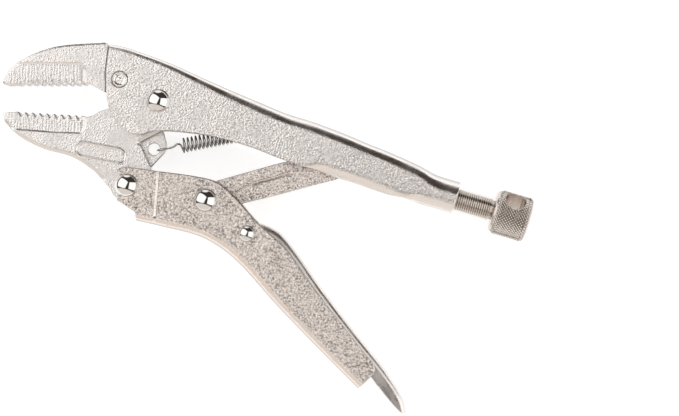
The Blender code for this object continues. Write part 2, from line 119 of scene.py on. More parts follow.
def smooth(points, steps=8):
    """A smooth curve through the points, whose first two coordinates are x and y."""

    def gap(one, two):
        return Vector((two - one)[0:2]).length

    def slope(i):
        before, after = max(i - 1, 0), min(i + 1, len(points) - 1)
        across = gap(points[before], points[i]) + gap(points[i], points[after])
        return (points[after] - points[before]) / across

    curve = []
    for i in range(len(points) - 1):
        start, end = points[i], points[i + 1]
        span = gap(start, end)
        for t in [step / steps for step in range(steps)]:
            curve.append(
                start * (2 * t**3 - 3 * t**2 + 1)
                + end * (3 * t**2 - 2 * t**3)
                + slope(i) * (span * (t**3 - 2 * t**2 + t))
                + slope(i + 1) * (span * (t**3 - t**2))
            )
    return [*curve, points[-1]]


def curve_through(*pairs, steps=8):
    return smooth([Vector(pair) for pair in pairs], steps)


def teeth(start, end, side, steps=10):
    """Round-topped teeth from start to end, with sharp valleys cut inward on one side of the line."""
    start, end = Vector(start), Vector(end)
    along = (end - start) / TOOTH_COUNT
    inward = Vector((-along.y, along.x)).normalized() * TOOTH_DEPTH * side
    points = []
    for i in range(TOOTH_COUNT * steps + 1):
        place = i / steps
        from_tip = abs(place - round(place))
        points.append(start + along * place + inward * (2 * from_tip) ** 1.6)
    return points


# ---------------------------------------------------------------- solids


def mesh_object(name, shape):
    mesh = bpy.data.meshes.new(name)
    bmesh.ops.recalc_face_normals(shape, faces=shape.faces)
    shape.to_mesh(mesh)
    shape.free()
    obj = bpy.data.objects.new(name, mesh)
    bpy.context.scene.collection.objects.link(obj)
    return obj


def prism(name, outline, low, high):
    """A flat outline between two heights above the middle plane."""
    shape = bmesh.new()
    floor, roof = [
        [shape.verts.new((x * MM, y * MM, (MID + z) * MM)) for x, y in outline] for z in (low, high)
    ]
    shape.faces.new(floor)
    shape.faces.new(roof)
    for i in range(len(outline)):
        j = (i + 1) % len(outline)
        shape.faces.new((floor[i], floor[j], roof[j], roof[i]))
    return mesh_object(name, shape)


def carve(target, tool, operation, solver="EXACT"):
    """Cut, join or cross the target with the tool, which is used up."""
    modifier = target.modifiers.new("carve", "BOOLEAN")
    modifier.operation = operation
    modifier.solver = solver
    modifier.object = tool
    settle(target)
    bpy.data.objects.remove(tool, do_unlink=True)
    return target


def settle(obj):
    """Apply every modifier."""
    evaluated = obj.evaluated_get(bpy.context.evaluated_depsgraph_get())
    mesh = bpy.data.meshes.new_from_object(evaluated)
    obj.modifiers.clear()
    obj.data = mesh
    return obj


def hole(target, centre, radius, steps=96):
    outline = arc(centre, radius, 0.0, 360.0 - 360.0 / steps, steps - 1)
    return carve(target, prism("hole", outline, -20.0, 20.0), "DIFFERENCE")


def soften(obj, voxel, rounds, factor=0.5):
    """Remesh to a fine even grid and round the edges over, as a tumbled and plated piece has them."""
    remesh = obj.modifiers.new("grid", "REMESH")
    remesh.mode = "VOXEL"
    remesh.voxel_size = voxel * MM
    blur = obj.modifiers.new("round", "SMOOTH")
    blur.factor = factor
    blur.iterations = rounds
    settle(obj)
    obj.data.shade_smooth()
    return obj


def sculpt(obj, move):
    """Move the vertices: move takes and gives x, y and height above the middle plane, and takes normals."""
    mesh = obj.data
    count = len(mesh.vertices)
    places = np.empty(count * 3)
    mesh.vertices.foreach_get("co", places)
    normals = np.empty(count * 3)
    mesh.vertices.foreach_get("normal", normals)
    places = places.reshape(-1, 3) / MM
    places[:, 2] -= MID
    places = move(places, normals.reshape(-1, 3))
    places[:, 2] += MID
    mesh.vertices.foreach_set("co", (places * MM).ravel())
    mesh.update()
    return obj


def along_normals(obj, height):
    """Raise the surface along its normals by height(places, normals), in millimetres."""
    return sculpt(obj, lambda places, normals: places + normals * height(places, normals)[:, None])


def press(obj, ceiling):
    """Push both sides in to ceiling(places), a half thickness in millimetres."""

    def move(places, normals):
        top = ceiling(places)
        places[:, 2] = np.clip(places[:, 2], -top, top)
        return places

    return sculpt(obj, move)


def ease(values, low, high):
    t = np.clip((values - low) / (high - low), 0.0, 1.0)
    return t * t * (3 - 2 * t)


def distance_to_path(places, path):
    """Distance of each place from a path of points in the plane, and how far along it that is."""
    best = np.full(len(places), 1e9)
    along = np.zeros(len(places))
    run = 0.0
    for one, two in zip(path, path[1:]):
        a, d = np.array(one[:]), np.array((two - one)[:])
        length = np.linalg.norm(d)
        t = np.clip(((places[:, :2] - a) @ d) / length**2, 0.0, 1.0)
        gap = np.linalg.norm(places[:, :2] - a - t[:, None] * d, axis=1)
        closer = gap < best
        best[closer] = gap[closer]
        along[closer] = run + t[closer] * length
        run += length
    return best, along


def inside(places, outline):
    """Which places lie inside a closed outline in the plane."""
    x, y = places[:, 0], places[:, 1]
    within = np.zeros(len(places), dtype=bool)
    for one, two in zip(outline, [*outline[1:], outline[0]]):
        if one[1] != two[1]:
            crossing = one[0] + (y - one[1]) * (two[0] - one[0]) / (two[1] - one[1])
            within ^= ((one[1] > y) != (two[1] > y)) & (x < crossing)
    return within


def edge_drop(places, path, width, drop):
    """How far a bevel of a width along the path lies below the face."""
    gap, _ = distance_to_path(places, path)
    return drop * np.clip(1.0 - gap / width, 0.0, 1.0) ** 1.4


# ---------------------------------------------------------------- pressed channels


def section(height, half_width, crown_r, lip_r, lip_angle, inset):
    foot = lip_r * math.sin(math.radians(lip_angle))
    low = arc((half_width - lip_r, foot), lip_r - inset, -lip_angle, 0.0, 12)
    top = arc((half_width - crown_r, height - crown_r), crown_r - inset, 0.0, 90.0, 14)
    return low + top


def channel(name, stations, sheet):
    shape = bmesh.new()
    rings = []
    for station in smooth([Vector(s) for s in stations], 8):
        crown, mouth = Vector(station[0:2]), Vector(station[2:4])
        up = (crown - mouth).normalized()
        ring = []
        for inset in (0.0, sheet):
            half = section((crown - mouth).length, *station[4:8], inset)
            whole = half + [Vector((-across, height)) for across, height in reversed(half)]
            if inset:
                whole.reverse()
            for across, height in whole:
                x, y = mouth + up * height
                ring.append(shape.verts.new((x * MM, y * MM, (MID + across) * MM)))
        rings.append(ring)
    count = len(rings[0])
    for one, two in zip(rings, rings[1:]):
        for i in range(count):
            j = (i + 1) % count
            shape.faces.new((one[i], one[j], two[j], two[i]))
    for ring in (rings[0], rings[-1]):
        for i in range(count // 2 - 1):
            shape.faces.new((ring[i], ring[i + 1], ring[count - 2 - i], ring[count - 1 - i]))
    return mesh_object(name, shape)


def along_screw(distance, offset=0.0):
    return LINK_END + SCREW_AXIS * distance + SCREW_UP * offset


def upper_handle():
    """Fixed handle: a channel whose rear end closes into the boss that holds the screw."""
    boss_r = BORE_R + UPPER_SHEET
    lip = 60.0
    lap = -boss_r * math.sin(math.radians(lip))
    front = [
        (-22.0, 20.0, -24.0, -15.0, UPPER_HALF, 2.2, 4.0, 2.0),
        (-12.8, 18.7, -13.0, -15.5, UPPER_HALF, 2.2, 4.0, 2.0),
        (-4.8, 16.2, -6.0, -11.7, UPPER_HALF, 2.3, 4.0, 2.0),
        (4.8, 12.6, 1.1, -10.3, UPPER_HALF, 2.6, 4.0, 2.0),
        (15.0, 8.0, 9.8, -10.8, UPPER_HALF, 3.2, 4.0, 2.0),
        (26.0, 3.2, 20.0, -12.5, UPPER_HALF, 4.0, 4.0, 2.0),
        (36.0, -1.0, 31.0, -15.6, UPPER_HALF, 4.4, 4.0, 2.0),
    ]
    rear = [
        (-24.5, 11.5, -3.8, UPPER_HALF, 4.5, 4.0, 2.0),
        (-15.6, 11.4, -4.3, UPPER_HALF, 4.6, 4.5, 10.0),
        (-9.3, 11.0, -4.2, UPPER_HALF, 4.6, 5.0, 45.0),
        (-3.0, 10.5, -4.7, UPPER_HALF, 4.6, 5.0, 60.0),
        (5.0, 9.6, -4.9, 6.3, 4.6, 5.0, 62.0),
        (11.0, 9.1, -5.2, 6.2, 4.6, 5.0, 58.0),
        (17.0, 8.4, -5.3, 6.1, 4.6, 5.0, 46.0),
        (22.0, 7.7, -4.8, 6.05, 4.7, 5.0, 36.0),
        (26.0, 7.0, -5.2, 5.95, 4.9, 5.2, 62.0),
        (29.5, 6.2, -5.3, 5.9, 5.6, 5.6, 62.0),
        (32.5, boss_r, lap, boss_r, boss_r, boss_r, lip),
        (BOSS_END, boss_r, lap, boss_r, boss_r, boss_r, lip),
    ]
    stations = front + [
        (*along_screw(at, top), *along_screw(at, bottom), *shape) for at, top, bottom, *shape in rear
    ]
    handle = channel("upper_handle_shell", stations, UPPER_SHEET)
    head = [Vector((-16.4, 21.0)), Vector((-16.6, 18.0))]
    head += curve_through((-17.6, 10.0), (-17.5, 2.0), (-15.8, -4.6), (-10.6, -10.4), (-5.9, -11.85))
    head += [Vector((-3.0, -20.0)), Vector((120.0, -70.0)), Vector((120.0, 30.0)), Vector((-16.4, 30.0))]
    carve(handle, prism("head", head, -14.0, 14.0), "INTERSECT")
    tab = [Vector((36.1, -2.2)), Vector((41.2, -4.3)), *arc((38.6, -10.1), 2.9, 10.0, -190.0)]
    tab = hole(prism("tab", tab, -0.8, 0.8), TAB_HOOK + Vector((2.3, -0.1)), 1.4)
    carve(handle, tab, "UNION")
    hole(handle, JAW_PIVOT, SHANK_R + FIT)
    hole(handle, JAW_FIXING, FIXING_R + FIT)
    return soften(handle, 0.22, 6)


def upper_jaw():
    top = curve_through(
        (-53.1, 6.3), (-51.0, 10.6), (-47.1, 13.7), (-41.0, 16.7), (-33.0, 18.9), (-17.9, 20.0)
    )
    back = [Vector((-17.0, 19.4)), Vector((-17.1, 18.0)), Vector((-18.1, 10.0)), Vector((-18.0, 2.9))]
    back += [Vector((-23.0, 5.6)), Vector((-24.3, 6.3))]
    row = list(reversed(teeth((-46.9, 5.1), (-25.0, 5.1), 1)))
    nose = curve_through((-46.9, 5.1), (-48.5, 5.3), (-50.2, 5.15), (-52.2, 5.4), (-53.1, 6.3))[1:-1]
    jaw = prism("upper_jaw_forging", top + back + row + nose, -NOSE_HALF, NOSE_HALF)
    tang = curve_through((-19.0, 17.0), (-12.8, 16.2), (-4.8, 13.7), (2.2, 11.0))
    tang += arc(JAW_PIVOT, 8.9, 68.0, 166.0) + [Vector((-17.0, 2.8)), Vector((-19.0, 3.6))]
    carve(jaw, prism("tang", tang, -JAW_HALF, JAW_HALF), "UNION")
    hole(jaw, JAW_FIXING, FIXING_R + FIT)
    band = [Vector((-56.0, 13.2)), Vector((-27.6, 13.1)), *arc((-27.6, 9.7), 3.4, 80.0, 0.0)]
    band += [Vector((-24.2, 2.0)), Vector((-56.0, 2.0))]

    def ceiling(places):
        low = flank_drop(places, band, -25.6) + edge_drop(places, row, 0.9, 0.3)
        return NOSE_HALF - low - edge_drop(places, top, 1.0, 0.35) - edge_drop(places, nose, 0.9, 0.4)

    press(soften(jaw, 0.14, 0), ceiling)
    soften(jaw, 0.14, 2)
    return striate(jaw, NOSE_HALF - BAND_DEPTH, (-52.5, -26.6), (3.0, 12.6))


def flank_drop(places, band, column):
    """How far the serrated flank stands back: a sloped step, and a smooth hollow at the band's end."""
    slope, hollow = 0.65, 0.16
    gap, _ = distance_to_path(places, [*band, band[0]])
    within = inside(places, band)
    dish = hollow * np.exp(-(((places[:, 0] - column) / 0.6) ** 2))
    return within * (BAND_DEPTH * np.clip(gap / slope, 0.0, 1.0) + dish * np.clip(gap - 0.5, 0.0, 1.0))


def striate(jaw, face, across, up):
    """Broaching marks on the serrated flanks."""
    coarse, fine, depth = 0.97, 0.71, 0.075

    def height(places, normals):
        x, y = places[:, 0], places[:, 1]
        flat = ease(np.abs(normals[:, 2]), 0.93, 0.99) * (np.abs(np.abs(places[:, 2]) - face) < 0.12)
        within = ease(x, across[0], across[0] + 0.6) * (1 - ease(x, across[1] - 0.6, across[1]))
        within *= ease(y, up[0], up[0] + 0.4) * (1 - ease(y, up[1] - 0.7, up[1]))
        phase = x + 0.14 * np.sin(y * 0.9 + x * 0.7) + 0.05 * np.sin(y * 3.1 + x)
        wave = 0.65 * np.sin(phase * 2 * math.pi / coarse) + 0.35 * np.sin(phase * 2 * math.pi / fine + 1.3)
        strength = 0.7 + 0.3 * np.sin(x * 1.7 + y * 0.8)
        return flat * within * depth * (wave * strength - 0.5)

    return along_normals(jaw, height)


def lower_jaw():
    row = teeth((-47.8, -3.6), (-25.7, -4.9), -1)
    inner = [Vector((-24.6, -5.6)), Vector((-22.0, -4.8)), Vector((-19.8, -3.4)), Vector((-11.0, -0.8))]
    hub = arc(JAW_PIVOT, 8.2, 172.0, -52.0, 56)
    back = [Vector((1.2, -10.2)), Vector((-6.5, -14.2)), Vector((-2.4, -23.4))]
    foot = arc(HANDLE_PIVOT, 5.7, 12.0, -164.0, 40)
    outer = curve_through(
        (-19.3, -26.7), (-22.4, -23.6), (-29.3, -19.2), (-39.3, -16.3), (-47.1, -12.3), (-52.2, -7.4),
        (-53.1, -3.9),
    )
    jaw = prism("lower_jaw_forging", row + inner + hub + back + foot + outer, -JAW_HALF, JAW_HALF)
    lug = [Vector((0.6, -9.0)), Vector((1.8, -11.0)), *arc((-1.4, -15.2), 4.2, 28.0, -48.0)]
    lug += [Vector((-2.6, -22.6)), Vector((-5.5, -22.0)), Vector((-9.0, -14.0))]
    carve(jaw, prism("lug", lug, -LUG_HALF, LUG_HALF), "UNION")
    hole(jaw, JAW_PIVOT, SHANK_R + FIT)
    hole(jaw, HANDLE_PIVOT, SHANK_R + FIT)
    hole(jaw, (-1.6, -16.4), 2.0)
    band = [Vector((-56.0, -9.6)), Vector((-49.5, -9.9)), Vector((-36.6, -10.9)), Vector((-28.0, -11.2))]
    band += [*arc((-27.7, -7.9), 3.4, -85.0, -5.0), Vector((-24.2, -2.0)), Vector((-56.0, -2.0))]

    def ceiling(places):
        low = flank_drop(places, band, -25.7) + edge_drop(places, row, 0.9, 0.3)
        return JAW_HALF - low - edge_drop(places, outer, 1.5, 0.6) - edge_drop(places, back[:2], 1.0, 0.5)

    press(soften(jaw, 0.14, 0), ceiling)
    soften(jaw, 0.14, 2)
    striate(jaw, JAW_HALF - BAND_DEPTH, (-53.5, -26.6), (-10.3, -3.0))
    return plaque(jaw)


def plaque(jaw):
    """A blank stadium-shaped plaque with a raised rim on each side of the jaw."""
    tilt = math.radians(-11.0)
    reach = Vector((math.cos(tilt), math.sin(tilt))) * 5.9
    centre = Vector((-19.8, -17.5))

    def height(places, normals):
        gap, _ = distance_to_path(places, [centre - reach, centre + reach])
        flat = ease(np.abs(normals[:, 2]), 0.9, 0.99)
        rim = np.exp(-(((gap - 2.5) / 0.34) ** 2))
        return flat * (0.38 * rim - 0.16 * (1 - ease(gap, 1.9, 2.4)))

    return along_normals(jaw, height)


def lower_handle():
    stations = [
        (-14.0, -39.4, -14.0, -19.0, EAR_HALF, 3.2, 4.0, 2.0),
        (-2.4, -42.0, -0.6, -20.0, EAR_HALF, 3.2, 4.0, 2.0),
        (-1.9, -42.1, -0.1, -20.0, EAR_HALF, 3.2, 4.0, 2.0),
        (-0.7, -42.4, 0.9, -20.2, LOWER_HALF, 3.4, 4.0, 2.0),
        (-0.2, -42.5, 1.4, -20.3, LOWER_HALF, 3.4, 4.0, 2.0),
        (15.0, -46.6, 21.0, -23.0, LOWER_HALF, 3.6, 4.0, 2.0),
        (26.0, -54.0, 38.0, -37.0, LOWER_HALF, 3.6, 4.0, 2.0),
        (40.0, -69.4, 54.0, -54.0, 6.8, 3.6, 4.0, 2.0),
        (54.0, -84.0, 67.5, -70.5, 6.5, 3.5, 4.0, 2.0),
        (66.5, -96.6, 80.0, -85.0, 6.2, 3.4, 4.0, 2.0),
        (74.0, -104.0, 86.0, -92.0, 6.2, 3.4, 4.0, 2.0),
    ]
    handle = channel("lower_handle_shell", stations, LOWER_SHEET)
    ear = arc(HANDLE_PIVOT, 6.25, 250.0, 86.0, 40)
    edge = curve_through(
        (0.0, -23.9), (12.5, -25.6), (19.6, -27.4), (25.6, -32.0), (33.0, -40.4), (37.5, -44.6)
    )
    edge += curve_through((43.4, -50.0), (54.6, -65.6), (66.0, -80.3), (73.4, -89.6))
    end = [Vector((74.0, -91.4)), Vector((73.4, -93.0)), Vector((66.5, -100.0)), Vector((60.0, -110.0))]
    below = [Vector((-6.8, -70.0)), Vector((-7.8, -38.0))]
    carve(handle, prism("side", ear + edge + end + below, -14.0, 14.0), "INTERSECT")
    hole(handle, HANDLE_PIVOT, SHANK_R + FIT)
    hole(handle, LINK_PIVOT, SHANK_R + FIT)
    hole(handle, LEVER_PIVOT, SMALL_SHANK_R + FIT)
    return soften(handle, 0.22, 6)


def toggle_link():
    upper = curve_through((19.7, -27.2), (31.1, -24.0), (43.0, -20.8), (54.0, -18.9), (64.0, -18.8))
    lower = curve_through((60.2, -27.0), (52.5, -28.9), (41.1, -32.0), (28.7, -35.0), (22.0, -37.0))
    outline = upper + arc(LINK_END, 3.2, 75.0, -100.0) + lower + arc(LINK_PIVOT, 5.5, -40.0, -245.0, 40)
    link = prism("toggle_link_bar", outline, -LINK_HALF, LINK_HALF)
    hole(link, LINK_PIVOT, SHANK_R + FIT)
    soften(link, 0.16, 4)
    crease = curve_through((25.0, -32.4), (29.7, -29.7), (32.6, -28.2), (40.1, -26.1), (48.0, -23.6))

    def height(places, normals):
        gap, run = distance_to_path(places, crease)
        flat = ease(np.abs(normals[:, 2]), 0.8, 0.98)
        return -flat * 0.35 * np.exp(-((gap / 0.4) ** 2)) * ease(run, 0.0, 2.0) * (1 - ease(run, 20.0, 24.0))

    return along_normals(link, height)


def release_lever():
    stations = [
        (22.0, -42.5, 25.0, -53.0, 5.0, 2.4, 4.0, 2.0),
        (30.2, -41.2, 30.5, -54.0, 5.0, 2.4, 4.0, 2.0),
        (36.5, -42.3, 33.5, -54.0, 5.0, 2.4, 4.0, 2.0),
        (42.8, -46.2, 36.0, -55.0, 5.0, 2.4, 4.0, 2.0),
        (55.9, -64.2, 47.5, -71.0, 4.8, 2.4, 4.0, 2.0),
        (67.0, -78.8, 59.0, -85.0, 4.5, 2.4, 4.0, 2.0),
        (76.0, -89.9, 68.5, -96.0, 4.2, 2.4, 4.0, 2.0),
        (81.0, -96.9, 73.5, -102.5, 4.1, 2.3, 4.0, 2.0),
        (83.8, -102.0, 76.0, -106.0, 4.0, 2.2, 4.0, 2.0),
        (84.9, -107.0, 77.5, -110.0, 3.9, 2.1, 4.0, 2.0),
    ]
    lever = channel("release_lever_shell", stations, LEVER_SHEET)
    nose = arc(LEVER_PIVOT, 4.7, 250.0, 120.0)
    tip = [Vector((26.0, -36.0)), Vector((100.0, -60.0)), Vector((100.0, -106.2)), Vector((84.0, -106.8))]
    foot = curve_through(
        (82.4, -106.2), (79.4, -103.0), (75.6, -98.4), (70.4, -91.4), (61.5, -79.8), (51.0, -66.6),
        (40.0, -54.6),
    )
    carve(lever, prism("side", nose + tip + foot, -14.0, 14.0), "INTERSECT")
    hole(lever, LEVER_PIVOT, SMALL_SHANK_R + FIT)
    soften(lever, 0.18, 2)
    crown = smooth([Vector(s[0:2]) for s in stations[-4:]], 8)

    def height(places, normals):
        gap, run = distance_to_path(places, crown)
        close = (1 - ease(gap, 1.0, 1.8)) * ease(run, 3.0, 6.0) * ease(-np.abs(places[:, 2]), -3.6, -3.0)
        return close * 0.25 * (np.cos(run * 2 * math.pi / 1.1) - 1)

    return along_normals(lever, height)


# ---------------------------------------------------------------- turned pieces, thread, knurl and wire


def tube_mesh(name, rings):
    """A closed skin over rings of points in metres."""
    shape = bmesh.new()
    made = [[shape.verts.new(place) for place in ring] for ring in rings]
    count = len(made[0])
    for one, two in zip(made, made[1:]):
        for i in range(count):
            j = (i + 1) % count
            shape.faces.new((one[i], one[j], two[j], two[i]))
    shape.faces.new(made[0])
    shape.faces.new(made[-1])
    obj = mesh_object(name, shape)
    obj.data.shade_smooth()
    return obj


def turned(name, profile, steps, frame_of, wobble=None):
    """Rings about an axis. profile is (radius, height) pairs. wobble changes the radius at each point."""
    rings = []
    for radius, height in profile:
        ring = []
        for i in range(steps):
            angle = 2 * math.pi * i / steps
            r = max(radius + (wobble(radius, height, angle) if wobble else 0.0), 0.001)
            ring.append(frame_of(r * math.cos(angle), r * math.sin(angle), height))
        rings.append(ring)
    return tube_mesh(name, rings)


def upright(centre):
    return lambda x, y, z: Vector(((centre[0] + x) * MM, (centre[1] + y) * MM, (MID + z) * MM))


def screw_frame(x, y, z):
    place = along_screw(z, x)
    return Vector((place.x * MM, place.y * MM, (MID + y) * MM))


def dome(head_r, height, base, steps=24):
    sphere_r = (head_r**2 + height**2) / (2 * height)
    spread = math.asin(head_r / sphere_r)
    centre = base + height - sphere_r
    angles = [spread * (0.02 + 0.98 * i / steps) for i in range(steps + 1)]
    return [(sphere_r * math.sin(a), centre + sphere_r * math.cos(a)) for a in angles]


def rivet(name, centre, half_width, head_r, dome_height, shank_r):
    """A domed head in front and a flat upset head at the back."""
    face = half_width + 0.05
    profile = dome(head_r, dome_height, face + 0.2)
    profile += [(head_r, face + 0.1), (head_r - 0.06, face), (shank_r, face), (shank_r, -face)]
    profile += [(head_r, -face), (head_r, 0.6 - MID), (head_r - 0.15, 0.25 - MID)]
    profile += [(head_r - 0.5, 0.02 - MID), (head_r - 0.7, -MID), (0.05, -MID)]
    return turned(name, profile, 128, upright(centre))


def fixing_rivet():
    """Flush rivet: a soft raised ring about a shallow dish with a punch mark."""
    face = UPPER_HALF
    half = [(0.03, face - 0.12), (0.3, face - 0.16), (0.6, face - 0.34), (0.9, face - 0.42)]
    half += [(1.3, face - 0.36), (1.7, face - 0.14), (1.95, face + 0.02), (2.2, face + 0.08)]
    half += [(2.45, face + 0.02), (2.65, face - 0.14)]
    profile = half + [(radius, -height) for radius, height in reversed(half)]
    return turned("upper_jaw_flush_rivet", profile, 96, upright(JAW_FIXING))


def screw_nose():
    profile = [(0.02, TIP_END), (TIP_R - 0.1, TIP_END), (TIP_R, TIP_END - 0.1), (TIP_R, TIP_START + 0.9)]
    profile += [(TIP_R - 0.2, TIP_START + 0.5), (1.7, TIP_START + 0.05), (1.5, TIP_START), (0.02, TIP_START)]
    return turned("screw_plain_nose", list(reversed(profile)), 64, screw_frame)


def threaded_rod():
    """The rod with its helical thread and a plain neck before the knob."""
    start = TIP_END + 0.3
    end = KNOB_START - 1.2
    depth, lead, samples = 0.46, 0.8, 10
    neck_r = THREAD_R - 0.6

    def thread(radius, height, angle):
        turn = (height / THREAD_PITCH - angle / (2 * math.pi)) % 1.0
        tooth = abs(2 * turn - 1.0)
        fade = min(1.0, max(0.0, (height - start - 0.6) / 1.5), max(0.0, (end - height) / 0.4))
        groove = min(1.0, max(0.0, 1.3 * (1 - tooth) - 0.15))
        return -depth * groove * fade

    steps = int((end - start) / THREAD_PITCH * samples)
    profile = [(0.02, start), (THREAD_R - lead - 0.2, start), (THREAD_R - lead, start + 0.05)]
    profile += [
        (THREAD_R - lead * (1 - min(1.0, i * samples / steps)), start + 0.1 + (end - start - 0.1) * i / steps)
        for i in range(steps + 1)
    ]
    profile += [(neck_r, end + 0.3), (neck_r, KNOB_START - 0.02), (0.02, KNOB_START)]
    return turned("adjusting_screw_rod", profile, 72, screw_frame, thread)


def knurled_knob():
    """The knob: a diamond knurl, rounded ends, and a plain bar hole right across it."""
    depth, around = 0.42, 42
    slope = around / KNOB_R
    length = KNOB_END - KNOB_START

    def knurl(radius, height, angle):
        within = min(1.0, max(0.0, (radius - KNOB_R + 0.75) / 0.5))
        one = (angle * around + (height - KNOB_START) * slope) / (2 * math.pi)
        two = (angle * around - (height - KNOB_START) * slope) / (2 * math.pi)
        ridges = max(abs(2 * (one % 1.0) - 1.0), abs(2 * (two % 1.0) - 1.0))
        return -depth * within * min(1.0, max(0.0, 1.5 * (ridges - 0.3)))

    front = [(0.02, KNOB_START), (KNOB_R - 1.3, KNOB_START), (KNOB_R - 1.0, KNOB_START + 0.15)]
    front += [(KNOB_R - 0.9 * (1 - i / 8), KNOB_START + 0.3 + 1.6 * i / 8) for i in range(9)]
    body = [(KNOB_R, KNOB_START + 2.0 + (length - 4.0) * i / 80) for i in range(81)]
    rear = [
        (KNOB_R - 2.0 * (1 - math.cos(a)), KNOB_END - 1.6 + 1.6 * math.sin(a))
        for a in [math.radians(90.0 * i / 12) for i in range(13)]
    ]
    rear += [(3.4, KNOB_END), (3.1, KNOB_END - 0.08), (2.5, KNOB_END - 0.55), (2.3, KNOB_END - 0.6)]
    profile = [*front, *body, *rear, (0.02, KNOB_END - 0.6)]
    knob = turned("adjusting_screw_knob", profile, around * 10, screw_frame, knurl)
    carve(knob, cross_hole(), "DIFFERENCE", solver="MANIFOLD")
    knob.data.shade_smooth()
    knob.data.set_sharp_from_angle(angle=math.radians(50.0))
    return knob


def cross_hole():
    """A cylinder across the knob, leaning over towards the upper side of the tool."""
    middle = (KNOB_START + KNOB_END) / 2
    reach = 2 * KNOB_R
    sine, cosine = math.sin(CROSS_HOLE_TILT), math.cos(CROSS_HOLE_TILT)

    def frame_of(x, y, z):
        return screw_frame(z * sine + y * cosine, z * cosine - y * sine, middle + x)

    return turned("cross_hole", [(CROSS_HOLE_R, -reach), (CROSS_HOLE_R, reach)], 96, frame_of)


def spring_points(per_turn=26):
    """The wire's path: a hook about the jaw's lug, an arched lead, the coil, and a hook in the tab."""
    length = (TAB_HOOK - LUG_HOOK).length
    coil_start, coil_end = 6.7, length - 4.0
    first = math.radians(200.0)
    sweep = 2 * math.pi * COIL_TURNS - math.radians(20.0)
    steps = COIL_TURNS * per_turn
    coil = []
    for i in range(steps + 1):
        angle = first + sweep * i / steps
        along = coil_start + (coil_end - coil_start) * i / steps
        coil.append(Vector((along, COIL_R * math.cos(angle), COIL_R * math.sin(angle))))
    front, rear = hook(0.0, 60.0), hook(length, 180.0)
    arch = [Vector((3.6, 0.25, 0.0)), Vector((4.9, 0.85, 0.0)), Vector((5.9, 0.5, -0.1))]
    arch += [Vector((6.4, -0.9, -0.5))]
    lead = smooth([front[-1], *arch, coil[0]], 6)[1:-1]
    tail = smooth([coil[-1], Vector((coil_end + 0.9, -0.9, 0.3)), rear[0]], 6)[1:-1]
    axis = (TAB_HOOK - LUG_HOOK) / length
    side = Vector((-axis.y, axis.x))
    path = []
    for along, across, up in [*front, *lead, *coil, *tail, *rear]:
        place = LUG_HOOK + axis * along + side * across
        path.append(Vector((place.x, place.y, up + MID)) * MM)
    return path


def hook(centre, first, turn=300.0, steps=28):
    """An open loop of wire about a place on the spring's axis, as (along, across, up) points."""
    angles = [math.radians(first + turn * i / steps) for i in range(steps + 1)]
    return [Vector((centre + HOOK_R * math.cos(a), 0.0, HOOK_R * math.sin(a))) for a in angles]


def swept(name, path, radius, sides=12):
    """A round wire along a path, on frames carried along it without twist."""
    ahead = (path[1] - path[0]).normalized()
    side = ahead.orthogonal().normalized()
    rings = []
    for i, place in enumerate(path):
        towards = (path[min(i + 1, len(path) - 1)] - path[max(i - 1, 0)]).normalized()
        side = (side - towards * side.dot(towards)).normalized()
        up = towards.cross(side)
        rings.append(
            [
                place + (side * math.cos(a) + up * math.sin(a)) * (radius * MM)
                for a in [2 * math.pi * k / sides for k in range(sides)]
            ]
        )
    return tube_mesh(name, rings)


# ---------------------------------------------------------------- materials


class Nodes:
    """A short way to write a node tree."""

    def __init__(self, owner):
        owner.use_nodes = True
        self.owner = owner
        self.tree = owner.node_tree

    @classmethod
    def material(cls, name):
        n = cls(bpy.data.materials.new(name))
        n.shader = n.tree.nodes["Principled BSDF"]
        n.shader.inputs["Metallic"].default_value = 1.0
        return n

    def add(self, kind, inputs=(), **settings):
        node = self.tree.nodes.new(kind)
        for key, value in settings.items():
            setattr(node, key, value)
        for key, value in dict(inputs).items():
            self.put(node.inputs[key], value)
        return node

    def put(self, socket, value):
        if isinstance(value, bpy.types.NodeSocket):
            self.tree.links.new(value, socket)
        else:
            socket.default_value = value

    def math(self, operation, *values):
        return self.add("ShaderNodeMath", enumerate(values), operation=operation).outputs[0]

    def between(self, value, low, high, start=0.0, end=1.0):
        inputs = {"Value": value, "From Min": low, "From Max": high, "To Min": start, "To Max": end}
        return self.add("ShaderNodeMapRange", inputs, interpolation_type="SMOOTHSTEP").outputs[0]

    def blend(self, share, one, two):
        node = self.add("ShaderNodeMix", data_type="RGBA")
        self.put(node.inputs[0], share)
        self.put(node.inputs[6], one)
        self.put(node.inputs[7], two)
        return node.outputs[2]


